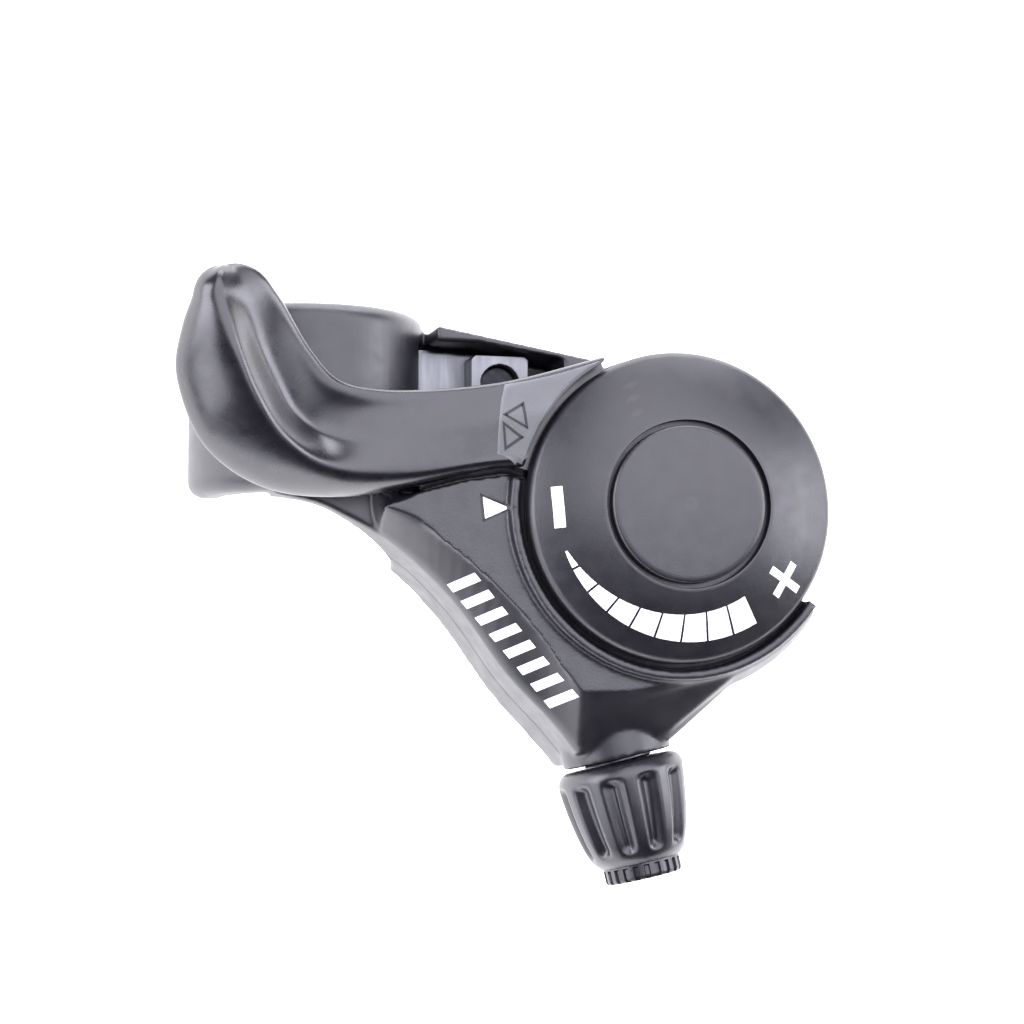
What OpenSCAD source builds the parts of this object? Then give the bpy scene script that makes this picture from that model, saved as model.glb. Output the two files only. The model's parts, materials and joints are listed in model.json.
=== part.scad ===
// Friction thumb shifter for the left side of a flat handlebar.
// Frame: the origin is the centre of the handlebar bore, +Y runs along the bar,
// +X points from the bar to the dial, and +Z is the dial's axis, towards the rider.

/* [Handlebar clamp] */
// Diameter of the handlebar that the clamp fits
bar_d = 22.2; // [22.2:0.1:22.6]
// Outer radius of the moulded saddle over the bar
saddle_r = 15; // [14.8:0.1:15]
// Length of the saddle along the bar
saddle_len = 23.4; // [23:0.1:24]
// Thickness of the steel clamp band
band_t = 1.4; // [1.2:0.1:1.5]
// Width of the steel clamp band along the bar
band_w = 14; // [12:0.5:14]
// Distance of the clamp bolt from the bar's axis
bolt_x = 23.2; // [23:0.1:23.6]

/* [Pivot and dial] */
// Distance of the lever pivot from the bar's axis
pivot_x = 43.8; // [43.5:0.1:44]
// Position of the lever pivot along the bar
pivot_y = -15.7; // [-16:0.1:-15.5]
// Radius of the dial cover
dial_r = 19.4; // [19:0.1:19.6]
// Radius of the sphere that the dial's crown follows
crown_r = 37.5; // [36:0.5:40]
// Radius of the round cap in the middle of the dial
cap_r = 9.8; // [9:0.1:10]

/* [Lever] */
// Travel of the lever from the minus mark to the plus mark, in degrees
lever_travel = 143; // [100:1:145]
// Radius at which the inner wire winds on the drum
wire_r = 11.9; // [11.8:0.05:12]

/* [Barrel adjuster] */
// Angle of the adjuster away from straight along the bar, in degrees
adj_angle = 13.2; // [13:0.1:13.5]
// Largest radius of the adjuster knob
knob_r = 8; // [7.6:0.1:8.2]
// Length of the adjuster knob
knob_len = 12.8; // [12:0.2:13]
// Number of finger flutes round the knob
knob_flutes = 11; // [9:1:12]
// Diameter of the casing ferrule that the adjuster seats
casing_d = 5.2; // [5:0.1:5.4]
// Travel of the adjuster along its thread
adj_travel = 4; // [2:0.5:4]

/* [Hidden] */

$fn = 96;
eps = 0.01;
through = 60;           // longer than any cut
bar_r = bar_d / 2;
gap = 0.2;              // general assembly gap

// clamp
band_r = bar_r + band_t;
saddle_back = saddle_len / 2 - 2.3;
saddle_front = saddle_back - saddle_len;
saddle_round = 2;
recess_r = band_r + gap;
ear_root = 5;           // half width of the band's ears beside the bar
ear_half = 4.1;         // half width of the ears at the bolt
ear_top = 5.7;          // top face of the upper ear
ear_low = -0.6;         // top face of the lower ear
ear_hole_r = 2.7;
bolt_r = 2.45;
bolt_y = 0.4;
bolt_head_r = 4.25;
bolt_head_h = 5;
bolt_tip = 8.4;
nut_side = 7.4;
nut_corner_r = 4.9;
nut_h = 4;
washer_h = 1;
washer_r = 5;
hex_key_r = 2.3;

// bracket
deck_z = 15;            // top of the deck below the lever arm
top_z = 18;             // flat top beside the dial
ramp_z = 12.5;          // top of the step between the deck and the flank
wall_top_z = 12;        // top of the thin wall behind the clamp nut
neck_r = 6.9;
under = 0.5;            // how far each moulded piece runs on below before the flat underside is cut
lug_low = 1.4;
lug_top = 3.4;
split_x = 14.2;         // where the saddle ends beside the clamp pocket
pocket_x0 = 14.6;
pocket_x1 = 31;
pocket_y0 = -5.4;

// housing under the dial
cavity_r = 18.6;
cavity_floor = 3.6;
low_wall_r = 19.7;
low_wall_z = 15.2;
rim_in = 20.3;
rim_out = 21.5;
rim_z = 19.5;
ledge_z = 17.2;
rim_a0 = 171;
rim_a1 = 326.5;
plate_r = 18.2;
plate_h = 1.5;
plate_screw_ring = 15.9;
plate_screw_at = [90, 210, 330];
screw_boss_r = 2.1;
screw_r = 1.1;

// pivot stack
post_r = 4;
post_collar_r = 6;
post_flat = 3.2;
post_top = 17;
pivot_thread_r = 1.95;
bush_r = 5.2;
drum_z0 = 4.3;
drum_z1 = 11.6;
drum_r = 13.4;
wire_z = 8;
hub_z0 = 11.7;
hub_z1 = 17.7;
hub_r = 18.2;
well_r = 7.4;
well_z = 14.6;
stack_r = 7.1;
hub_screw_ring = 9.5;
hub_screw_at = [40, 160, 280];
peg_ring = 14.5;
peg_at = [0, 120, 240];
peg_r = 1.2;
stop_in = 9;
stop_out = 11.4;
stop_half = 6;          // half angle of the stop lug
stop_play = 1;

// lever arm
arm_z0 = 15.8;
arm_gap_r = 20.4;
arm_sink = 0.2;         // step down from the hub's top face to the arm beside the dial
rail_steps = 4;         // sections between two points of a rail

// dial
dial_z0 = 17.9;
crown_z = 24.3 - sqrt(pow(crown_r, 2) - pow(cap_r, 2));
shell_t = 1.6;
cap_floor = 22.6;
cap_top = 24.9;
cap_crown_r = 80;
pin_r = 2;              // the cap's pin, pressed into the dial cover
cap_seam = 0.6;
minus_angle = 182;
plus_angle = minus_angle + lever_travel;
gauge_blocks = 9;
gauge_start = 201;
gauge_end = 303.5;
mark_depth = 0.35;
mark_proud = 0.06;

// adjuster, whose axis is the wire's line, a tangent of the drum
neck_gap = 0.5;
adj_reach = 29.3;      // distance from the tangent point to the knob's inner face
tangent = [pivot_x - wire_r * cos(adj_angle), pivot_y - wire_r * sin(adj_angle)];
adj_at = [tangent[0] + adj_reach * sin(adj_angle), tangent[1] - adj_reach * cos(adj_angle), wire_z];
barrel_r = 2.95;
barrel_head_r = 4.2;
wire_hole_r = 1;
casing_seat = 7;
casing_r = casing_d / 2;
insert_r = 4.6;
collar_len = 2;
collar_r = 4.9;
flute_r = 1.9;
flute_tilt = 8.5;
casing_wall = 0.2;      // how far the barrel stays inside the collar
spring_turns = 4;
spring_r = 3.9;
spring_wire = 0.45;

function mix(a, b, t) = a + (b - a) * t;
function curve_at(p, q, r, s, t) = 0.5 * (2 * q + (r - p) * t + (2 * p - 5 * q + 4 * r - s) * t * t
  + (3 * q - p - 3 * r + s) * t * t * t);
// Smooth curve through the points of list v, with n steps between two points
function smooth(v, n) = let (m = len(v) - 1) [for (i = [0:m - 1]) for (k = [0:(i == m - 1 ? n : n - 1)])
  curve_at(v[max(i - 1, 0)], v[i], v[i + 1], v[min(i + 2, m)], k / n)];

function polar(r, a) = [r * cos(a), r * sin(a)];
function gauge_edge(i) = mix(gauge_start, gauge_end, i == 0 ? 0 : (i - 0.25) / (gauge_blocks - 0.25));
function gauge_outer(a) = mix(16.35, 17.1, (a - gauge_start) / (gauge_end - gauge_start));
function gauge_inner(a) = 13.35 + 2.8 * pow((gauge_end - a) / (gauge_end - gauge_start), 2.2);

module at_pivot() { translate([pivot_x, pivot_y, 0]) children(); }
module at_adjuster() { translate(adj_at) rotate([90, 0, adj_angle]) children(); }
module ring(r_out, r_in, h) {
  difference() {
    cylinder(r = r_out, h = h);
    translate([0, 0, -eps]) cylinder(r = r_in, h = h + 2 * eps);
  }
}
// Cylinder along the handlebar
module along_bar(r, y0, y1) {
  translate([0, y1, 0]) rotate([90, 0, 0]) rotate(-90) cylinder(r = r, h = y1 - y0);
}
module wedge(r, a0, a1) {
  polygon(concat([[0, 0]], [for (i = [0:12]) let (a = mix(a0, a1, i / 12)) r * [cos(a), sin(a)]]));
}
// Closed solid between rings of equal point count, whose end caps are flat or fans of triangles
module loft(rings, fan = false) {
  n = len(rings[0]);
  m = len(rings);
  last = (m - 1) * n;
  start = fan ? [for (i = [1:n - 2]) [0, i, i + 1]] : [[for (i = [0:n - 1]) i]];
  end = fan ? [for (i = [1:n - 2]) [last, last + i + 1, last + i]] : [[for (i = [n - 1:-1:0]) last + i]];
  polyhedron(points = [for (r = rings) for (p = r) p],
    faces = concat(start, end,
      [for (j = [0:m - 2]) for (i = [0:n - 1]) let (k = (i + 1) % n)
        [j * n + i, (j + 1) * n + i, (j + 1) * n + k]],
      [for (j = [0:m - 2]) for (i = [0:n - 1]) let (k = (i + 1) % n)
        [j * n + i, (j + 1) * n + k, j * n + k]]),
    convexity = 6);
}

// ---------------------------------------------------------------- bracket

// Flank outline at three heights, from the saddle to the adjuster's neck
flank_base = [[-6, -15], [-1, -16.6], [3, -18.4], [7.3, -20.5], [12, -23.3], [17.7, -29.2], [24, -37.8],
  [29.5, -43.8], [32.7, -47.4]];
flank_wall = [[-6, -14.4], [-0.8, -15.4], [2.7, -16.9], [7.2, -19.3], [12, -22.9], [17.4, -28.4],
  [23.2, -36.2], [28.9, -42], [32.3, -46.2]];
flank_top = [[2, -14], [3.5, -14.6], [5, -15.4], [6.7, -16.2], [10.8, -17.5], [16.4, -20.9], [22.5, -26],
  [27.2, -31.5], [31.6, -38.6]];
lip = 3;                // outline points beside the saddle, which stay below the lever
outline_steps = 4;      // steps between two outline points
neck_base = [44.9, -44.8];
neck_wall = [44.4, -44.2];
neck_top = [38, -38.4];
step_line = [[22.4, -11.9], [17, -12.75], [11, -14.4]];
beak_round = 0.3;       // how far the raised part's end beside the lever bulges
flank_end_low = [6, -13.5];
flank_end_top = [9, -15.5];

// One closed outline of the flank: t = 0 at the wall, 1 at the flat top; a raised one leaves the lip out
function flank_ring(line, t, raised, neck, r, z) = let (
  v = smooth(line, outline_steps),
  k = lip * outline_steps,
  end = mix(flank_end_low, flank_end_top, t)) [for (p = concat(
  [for (i = [0:len(v) - 1]) let (u = (i + 1) / (k + 1))
    raised && i < k ? mix(end, v[k], u) - [beak_round * sin(180 * u), 0] : v[i]],
  [neck],
  [for (i = [0:8]) let (a = mix(291, rim_a1 - 0.8, i / 8)) [pivot_x + r * cos(a), pivot_y + r * sin(a)]],
  [[pivot_x, pivot_y]], step_line, [raised ? end : [-6, -12]])) [p[0], p[1], z]];
function flank_between(t) = [for (i = [0:len(flank_wall) - 1]) mix(flank_wall[i], flank_top[i], t)];

module flank() {
  loft([
    flank_ring(flank_base, 0, false, neck_base, 23.6, -under),
    flank_ring(flank_base, 0, false, neck_base, 23.6, 0),
    flank_ring(flank_wall, 0, false, neck_wall, 23.2, 12.9),
    flank_ring(flank_wall, 0, true, neck_wall, 23.2, 13.1),
    flank_ring(flank_between(0.12), 0.12, true, mix(neck_wall, neck_top, 0.12), 23, 14),
    flank_ring(flank_between(0.85), 0.85, true, mix(neck_wall, neck_top, 0.85), 22, 17.4),
    flank_ring(flank_top, 1, true, neck_top, 21.6, top_z)]);
}
// Saddle over the bar, with rounded ends
module saddle() {
  half = [for (i = [0:6]) let (a = 15 * i) [saddle_r - saddle_round + saddle_round * cos(a),
    saddle_back - saddle_round + saddle_round * sin(a)]];
  front = [for (i = [0:6]) let (a = 15 * i - 90) [saddle_r - saddle_round + saddle_round * cos(a),
    saddle_front + saddle_round + saddle_round * sin(a)]];
  intersection() {
    rotate([-90, 0, 0]) rotate(90) rotate_extrude()
      polygon(concat([[5, saddle_front]], front, half, [[5, saddle_back]]));
    translate([-saddle_r, -through / 2, 0]) cube([saddle_r + split_x, through, through]);
  }
}
module deck() {
  translate([0, 0, -3 * under]) {
    linear_extrude(deck_z + 3 * under) polygon([[9, pocket_y0], [36, pocket_y0], [36, -14], [9, -13.4]]);
    linear_extrude(ramp_z + 3 * under)
      polygon([[-4, -10], [9, -8], [24, -11], [20, -16], [8, -14.6], [-4, -13]]);
    linear_extrude(wall_top_z + 3 * under)
      polygon([[pocket_x0, 7.3], [36, 3.4], [36, pocket_y0 - 1], [pocket_x0, pocket_y0 - 1]]);
  }
}
module bracket() {
  color([0.16, 0.15, 0.18]) difference() {
    union() {
      saddle();
      intersection() {
        union() {
          deck();
          flank();
          at_pivot() translate([0, 0, -4 * under]) cylinder(r = low_wall_r, h = low_wall_z + 4 * under);
          at_pivot() translate([0, 0, -5 * under]) linear_extrude(rim_z + 5 * under)
            intersection() { circle(r = rim_out); wedge(40, rim_a0, rim_a1); }
          at_adjuster() translate([0, 0, -12]) cylinder(r = neck_r, h = 12 - neck_gap);
        }
        translate([-through, -2 * through, 0]) cube([3 * through, 3 * through, through]);
      }
    }
    // bar and band
    along_bar(bar_r, -through, through);
    along_bar(recess_r, -band_w / 2 - gap, band_w / 2 + gap);
    // pocket for the band's ears and the nut, above its floor
    translate([0, 0, lug_top]) linear_extrude(through)
      polygon([[pocket_x0 - 1, 5.3], [20, 5.35], [pocket_x1, 3.6], [pocket_x1, pocket_y0],
        [pocket_x0 - 1, pocket_y0]]);
    translate([split_x, -5.2, -4]) cube([pocket_x0 - split_x, 20, through]);
    translate([bar_r - 1, bolt_y - ear_root - gap, lug_top + 0.1])
      cube([6, 2 * (ear_root + gap), ear_top - lug_top + 0.9]);
    translate([bolt_x, bolt_y, -5]) cylinder(r = ear_hole_r, h = lug_top + 7);
    translate([bar_r - 1, bolt_y - ear_root - gap, -6])
      cube([bolt_x - bar_r + ear_root + 2, 2 * (ear_root + gap), lug_low + 6]);
    // housing under the dial; each cut starts at its own depth, so that no two share an end face
    at_pivot() {
      translate([0, 0, cavity_floor]) cylinder(r = cavity_r, h = through);
      translate([0, 0, ledge_z]) cylinder(r = rim_in, h = through);
      translate([0, 0, -2]) cylinder(r = plate_r + 0.1, h = plate_h + 2.1);
      translate([0, 0, -3]) cylinder(r = post_collar_r + 0.1, h = through);
      for (a = plate_screw_at) rotate(a) translate([plate_screw_ring, 0, -1])
        cylinder(r = screw_r + 0.05, h = cavity_floor + 2);
    }
    // wire path, thread insert and the nipple's way in from the clamp pocket
    at_adjuster() {
      translate([0, 0, -9.6]) cylinder(r = insert_r + 0.02, h = 12);
      translate([0, 0, -30]) cylinder(r = 1.6, h = 30);
      translate([0, 0, -adj_reach - 20]) cylinder(r = 2.5, h = 20);
    }
    translate([0, 0, top_z - mark_depth]) linear_extrude(1) pointer_shape();
  }
  color([0.16, 0.15, 0.18]) at_pivot() {
    for (a = plate_screw_at) rotate(a) translate([plate_screw_ring, 0, cavity_floor - 0.5])
      ring(screw_boss_r, screw_r + 0.05, 5.4);
    translate([0, 0, cavity_floor - 0.5]) linear_extrude(2) intersection() {
      difference() { circle(r = stop_out); circle(r = stop_in); }
      wedge(20, 90 - stop_half, 90 + stop_half);
    }
  }
}
module pointer_shape() { polygon([[19.1, -14.8], [22.5, -16.1], [19.4, -17.5]]); }
module pointer_mark() {
  color("white") translate([0, 0, top_z - mark_depth])
    linear_extrude(mark_depth + mark_proud) pointer_shape();
}

// ---------------------------------------------------------------- clamp

module clamp_band() {
  color([0.72, 0.72, 0.74]) difference() {
    union() {
      difference() {
        along_bar(band_r, -band_w / 2, band_w / 2);
        translate([0, -band_w, ear_low]) cube([through, 2 * band_w, ear_top - band_t - ear_low]);
      }
      for (z = [ear_low - band_t, ear_top - band_t]) translate([0, 0, z]) linear_extrude(band_t) {
        polygon([[bar_r - 2.5, bolt_y - ear_root], [bolt_x, bolt_y - ear_half], [bolt_x, bolt_y + ear_half],
          [bar_r - 2.5, bolt_y + ear_root]]);
        translate([bolt_x, bolt_y]) circle(r = ear_half);
      }
    }
    along_bar(bar_r, -through, through);
    translate([bolt_x, bolt_y, -through / 2]) cylinder(r = ear_hole_r, h = through);
  }
}
module clamp_bolt() {
  head_top = ear_low - band_t - washer_h - 0.1;
  color([0.6, 0.6, 0.62]) translate([bolt_x, bolt_y, 0]) difference() {
    union() {
      translate([0, 0, head_top - bolt_head_h]) cylinder(r = bolt_head_r, h = bolt_head_h);
      translate([0, 0, head_top - eps]) cylinder(r = bolt_r, h = bolt_tip - head_top);
    }
    translate([0, 0, head_top - bolt_head_h - eps]) cylinder(r = hex_key_r, h = 3, $fn = 6);
  }
}
module clamp_washer() {
  color([0.7, 0.7, 0.72]) translate([bolt_x, bolt_y, ear_low - band_t - washer_h - 0.05])
    ring(washer_r, ear_hole_r, washer_h);
}
module clamp_nut() {
  color([0.75, 0.75, 0.77]) translate([bolt_x, bolt_y, ear_top + 0.05]) difference() {
    intersection() {
      translate([-nut_side / 2, -nut_side / 2, 0]) cube([nut_side, nut_side, nut_h]);
      cylinder(r = nut_corner_r, h = nut_h);
    }
    translate([0, 0, -eps]) cylinder(r = bolt_r + 0.05, h = nut_h + 1);
  }
}

// ---------------------------------------------------------------- pivot and housing

module base_plate() {
  color([0.7, 0.7, 0.72]) at_pivot() difference() {
    cylinder(r = plate_r, h = plate_h);
    translate([0, 0, -eps]) cylinder(r = 3.55, h = plate_h + 1);
    for (a = plate_screw_at) rotate(a) translate([plate_screw_ring, 0, -eps]) {
      cylinder(r = screw_r + 0.1, h = plate_h + 1);
      cylinder(r1 = 2.05, r2 = screw_r + 0.1, h = 1);
    }
  }
}
module base_screws() {
  color([0.62, 0.62, 0.64]) at_pivot() for (a = plate_screw_at) rotate(a) translate([plate_screw_ring, 0, 0])
    difference() {
      union() {
        cylinder(r1 = 1.95, r2 = screw_r, h = 0.9);
        cylinder(r = screw_r, h = 8);
      }
      for (b = [0, 90]) rotate(b) translate([-1, -0.2, -eps]) cube([2, 0.4, 0.5]);
    }
}
module pivot_post() {
  color([0.66, 0.66, 0.68]) at_pivot() difference() {
    union() {
      cylinder(r = 3.5, h = plate_h + 0.3);
      translate([0, 0, plate_h + 0.05]) cylinder(r = post_collar_r, h = 2);
      translate([0, 0, plate_h + 0.1]) cylinder(r = post_r, h = post_top - plate_h - 0.1);
    }
    for (s = [0, 180]) rotate(s) translate([post_flat, -5, well_z + 0.2]) cube([5, 10, 5]);
    translate([0, 0, 6]) cylinder(r = pivot_thread_r + 0.05, h = 20);
  }
}
module thrust_washer() {
  color([0.85, 0.83, 0.75]) at_pivot() translate([0, 0, cavity_floor + 0.05]) ring(8.2, post_r + 0.15, 0.5);
}
module friction_washer() {
  color([0.45, 0.3, 0.2]) at_pivot() translate([0, 0, well_z + 0.1]) ring(stack_r, post_r + 0.15, 0.6);
}
module spring_washer() {
  color([0.6, 0.6, 0.63]) at_pivot() translate([0, 0, well_z + 0.75]) difference() {
    cylinder(r1 = 7, r2 = 5.2, h = 0.9);
    translate([0, 0, -0.45]) cylinder(r1 = 7, r2 = 5.2, h = 0.9);
    translate([0, 0, -1]) cylinder(r = post_r + 0.2, h = 3);
  }
}
module keyed_washer() {
  color([0.7, 0.7, 0.72]) at_pivot() translate([0, 0, well_z + 1.75]) linear_extrude(0.8) difference() {
    circle(r = stack_r - 0.1);
    intersection() { circle(r = post_r + 0.05); square([2 * post_flat + 0.1, 10], center = true); }
  }
}
module pivot_screw() {
  color([0.6, 0.6, 0.62]) at_pivot() difference() {
    union() {
      translate([0, 0, well_z + 2.6]) cylinder(r = 4.6, h = 2.6);
      translate([0, 0, 7]) cylinder(r = pivot_thread_r, h = well_z + 2.7 - 7);
    }
    for (b = [0, 90]) rotate(b) translate([-2.2, -0.5, well_z + 3.7]) cube([4.4, 1, 3]);
  }
}

// ---------------------------------------------------------------- lever body

// Rails of the arm and paddle, each from the hub to the tip
rail_low = [[34, -11.2, 15.8], [22, -10.5, 15.8], [11, -12.6, 15.7], [2, -14, 15.7], [-7, -13.2, 16.2],
  [-13.6, -9, 17.6], [-17, -2, 19.6], [-17.2, 4, 21.8], [-16, 7.6, 23.4]];
rail_outer = [[34, -11.5, 18], [22, -11.1, 17.8], [11, -13.7, 17.6], [2, -15.3, 17.5], [-8, -14.7, 18.3],
  [-16, -10, 20], [-19.9, -2, 22.3], [-19.8, 4.2, 24.2], [-18.6, 8, 25.6]];
rail_crest = [[34, -9.8, 20.4], [22, -9.7, 20.2], [9, -12, 21], [-0.5, -12.2, 22.8], [-6.7, -9.3, 25.2],
  [-10.6, -4.6, 27.3], [-13, 0.4, 28.6], [-14.4, 4.6, 29], [-15.1, 7.6, 28.7]];
rail_valley = [[34, -4, 20.5], [22, -5.4, 20.3], [10, -7.8, 20], [1, -8.3, 20.8], [-4.4, -5.8, 22.6],
  [-7.5, -1.4, 24.3], [-9.8, 2.8, 25.5], [-11, 5.8, 26.2], [-12, 8, 26.8]];
rail_inner = [[34, 2.9, 20.5], [22, -0.5, 20.5], [12, -1.9, 20.8], [5, -2.1, 21.4], [0.2, -1.1, 22.1],
  [-3.1, 2.2, 23], [-5.2, 5.2, 23.8], [-6.8, 7.6, 24.6], [-8.5, 9.6, 25.4]];
rail_inner_low = [[34, 2.6, 15.8], [22, -1, 15.8], [12, -2.5, 15.7], [5, -2.9, 16], [0, -2, 16.8],
  [-3.6, 1, 18.2], [-6, 4.4, 19.8], [-8, 6.8, 21.4], [-9.8, 8.6, 23]];
paddle_tip = [-14.6, 12, 26];

module arm() {
  rails = [for (r = [rail_low, rail_outer, rail_crest, rail_valley, rail_inner, rail_inner_low])
    smooth(r, rail_steps)];
  n = len(rails[0]);
  bulge = smooth([for (i = [0:len(rail_outer) - 1])
    mix(rail_outer[i], rail_crest[i], 0.5) + [-0.5, -0.7, 0.5]], rail_steps);
  order = [rails[0], rails[1], bulge, rails[2], rails[3], rails[4], rails[5]];
  body = [for (i = [0:n - 1]) [for (r = order) r[i]]];
  last = body[n - 1];
  middle = [for (k = [0:2]) mix(last[1][k], last[5][k], 0.5)];
  end = [for (a = [20:20:80])
    [for (p = last) middle + (p - middle) * cos(a) + (paddle_tip - middle) * sin(a)]];
  loft(concat(body, end), fan = true);
}
module lever() {
  color([0.2, 0.19, 0.22]) difference() {
    union() {
      difference() {
        union() {
          arm();
          at_pivot() rotate(144) translate([10, -7, arm_z0 - 0.25]) cube([11, 14, 1.6]);
        }
        at_pivot() translate([0, 0, hub_z1 - arm_sink]) cylinder(r = arm_gap_r, h = through);
        at_pivot() translate([0, 0, -eps]) cylinder(r = hub_r - 1, h = through);
      }
      at_pivot() translate([0, 0, hub_z0]) cylinder(r = hub_r, h = hub_z1 - hub_z0);
    }
    at_pivot() {
      cylinder(r = bush_r + 0.02, h = through);
      translate([0, 0, well_z]) cylinder(r = well_r, h = through);
      for (a = hub_screw_at) rotate(a) translate([hub_screw_ring, 0, 0]) {
        cylinder(r = 1.25, h = through);
        translate([0, 0, 16.1]) cylinder(r = 1.9, h = 3);
      }
      for (a = peg_at) rotate(a) translate([peg_ring, 0, 15]) cylinder(r = peg_r + 0.05, h = 5);
    }
  }
}
module cable_drum() {
  color([0.8, 0.79, 0.76]) at_pivot() difference() {
    translate([0, 0, drum_z0]) cylinder(r = drum_r, h = drum_z1 - drum_z0);
    cylinder(r = bush_r + 0.02, h = through);
    rotate_extrude() {
      translate([wire_r + 0.05, wire_z]) circle(r = 0.85, $fn = 32);
      translate([wire_r, wire_z - 0.85]) square([4, 1.7]);
    }
    for (a = hub_screw_at) rotate(a) translate([hub_screw_ring, 0, 6.6]) cylinder(r = 1.15, h = 10);
    // nipple seat, open to the rim
    rotate(180 + adj_angle) translate([wire_r, 0, wire_z]) {
      rotate([90, 0, 0]) translate([0, 0, -2.3]) cylinder(r = 2.2, h = 4.6);
      translate([0, -2.3, -2.2]) cube([4, 4.6, 4.4]);
    }
    // groove for the stop lug, as long as the travel
    translate([0, 0, drum_z0 - eps]) linear_extrude(1.7) intersection() {
      difference() { circle(r = stop_out + 0.3); circle(r = stop_in - 0.3); }
      union() {
        wedge(30, 90 - stop_half - stop_play, 165);
        wedge(30, 160, 90 + stop_half + stop_play + lever_travel);
      }
    }
  }
}
module pivot_bush() {
  color([0.72, 0.55, 0.25]) at_pivot() translate([0, 0, drum_z0])
    ring(bush_r, post_r + 0.05, well_z - drum_z0 - 0.1);
}
module hub_screws() {
  color([0.62, 0.62, 0.64]) at_pivot() for (a = hub_screw_at) rotate(a) translate([hub_screw_ring, 0, 0])
    difference() {
      union() {
        translate([0, 0, 16.15]) cylinder(r = 1.8, h = 1.4);
        translate([0, 0, 7]) cylinder(r = screw_r, h = 9.3);
      }
      for (b = [0, 90]) rotate(b) translate([-1, -0.2, 17]) cube([2, 0.4, 1]);
    }
}
// Minus bar, plus cross and a row of growing blocks between them
module gauge_shape() {
  rotate(minus_angle) translate([16.1, 0]) rotate(3) square([1.3, 5.1], center = true);
  rotate(plus_angle) translate([15.6, 0]) rotate(6) {
    square([4.7, 1], center = true);
    square([1, 4.7], center = true);
  }
  for (i = [0:gauge_blocks - 1]) let (a0 = gauge_edge(i) + 0.55, a1 = gauge_edge(i + 1) - 0.55)
    polygon(concat([for (k = [0:3]) polar(gauge_outer(mix(a0, a1, k / 3)), mix(a0, a1, k / 3))],
      [for (k = [3:-1:0]) polar(gauge_inner(mix(a0, a1, k / 3)), mix(a0, a1, k / 3))]));
}
module dial_cover() {
  color([0.17, 0.16, 0.19]) at_pivot() difference() {
    union() {
      difference() {
        intersection() {
          translate([0, 0, dial_z0]) cylinder(r = dial_r, h = 12);
          translate([0, 0, crown_z]) sphere(r = crown_r);
        }
        intersection() {
          translate([0, 0, dial_z0 - 1]) cylinder(r = dial_r - shell_t, h = 12);
          translate([0, 0, crown_z]) sphere(r = crown_r - shell_t);
        }
      }
      translate([0, 0, cap_floor - 1.4]) cylinder(r = cap_r + 2, h = 1.4);
      for (a = peg_at) rotate(a) translate([peg_ring, 0, 15.5]) cylinder(r = peg_r, h = 6);
    }
    translate([0, 0, cap_floor]) cylinder(r = cap_r + cap_seam, h = 8);
    translate([0, 0, cap_floor - 2]) cylinder(r = pin_r + 0.05, h = 8);
    difference() {
      linear_extrude(40) gauge_shape();
      translate([0, 0, crown_z]) sphere(r = crown_r - mark_depth);
    }
  }
}
module gauge_marks() {
  color("white") at_pivot() difference() {
    intersection() {
      translate([0, 0, 15]) linear_extrude(20) gauge_shape();
      translate([0, 0, crown_z]) sphere(r = crown_r + mark_proud);
    }
    translate([0, 0, crown_z]) sphere(r = crown_r - mark_depth);
  }
}
module centre_cap() {
  color([0.2, 0.19, 0.22]) at_pivot() {
    intersection() {
      translate([0, 0, cap_floor + 0.05]) cylinder(r = cap_r, h = 4);
      translate([0, 0, cap_top - cap_crown_r]) sphere(r = cap_crown_r, $fn = 360);
    }
    translate([0, 0, cap_floor - 1.3]) cylinder(r = pin_r, h = 2);
  }
}

// ---------------------------------------------------------------- adjuster

module adjuster_insert() {
  color([0.8, 0.65, 0.3]) at_adjuster() translate([0, 0, -9.5]) difference() {
    cylinder(r = insert_r, h = 8.4);
    translate([0, 0, -1]) cylinder(r = barrel_r + 0.05, h = 12);
  }
}
module adjuster_barrel() {
  color([0.78, 0.63, 0.3]) at_adjuster() difference() {
    union() {
      translate([0, 0, -5 - adj_travel]) cylinder(r = barrel_r, h = 11 + adj_travel);
      translate([0, 0, 5.2]) cylinder(r = barrel_head_r, h = knob_len + collar_len - casing_wall - 5.2);
    }
    translate([0, 0, -10]) cylinder(r = wire_hole_r, h = 40);
    translate([0, 0, knob_len + collar_len - casing_wall - casing_seat]) cylinder(r = casing_r, h = 20);
  }
}
module adjuster_knob() {
  k = knob_len;
  grip = [[0, 0], [knob_r - 1.3, 0], [knob_r - 0.4, 0.5], [knob_r, 1.5], [knob_r, 2.6],
    [knob_r - 0.5, 6], [knob_r - 1.3, 9.5], [knob_r - 2, k - 1.2], [knob_r - 2.7, k - 0.3],
    [knob_r - 3.2, k]];
  collar = [[collar_r, k], [collar_r, k + collar_len - 0.4],
    [collar_r - 0.4, k + collar_len], [0, k + collar_len]];
  color([0.15, 0.14, 0.17]) at_adjuster() difference() {
    rotate_extrude() polygon(concat(grip, collar));
    for (i = [0:knob_flutes - 1]) rotate((i + 0.5) * 360 / knob_flutes)
      translate([knob_r + 1.1, 0, flute_r]) rotate([0, -flute_tilt, 0]) cylinder(r = flute_r, h = k - 2.6);
    translate([0, 0, -1]) cylinder(r = barrel_r + 0.3, h = 10);
    translate([0, 0, -1]) cylinder(r = 4.9, h = 6.2);
    translate([0, 0, 5.15]) cylinder(r = barrel_head_r + 0.02, h = 20);
  }
}
module click_washer() {
  color([0.9, 0.89, 0.85]) at_adjuster() translate([0, 0, 4.3]) ring(4.6, barrel_r + 0.1, 0.7);
}
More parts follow.
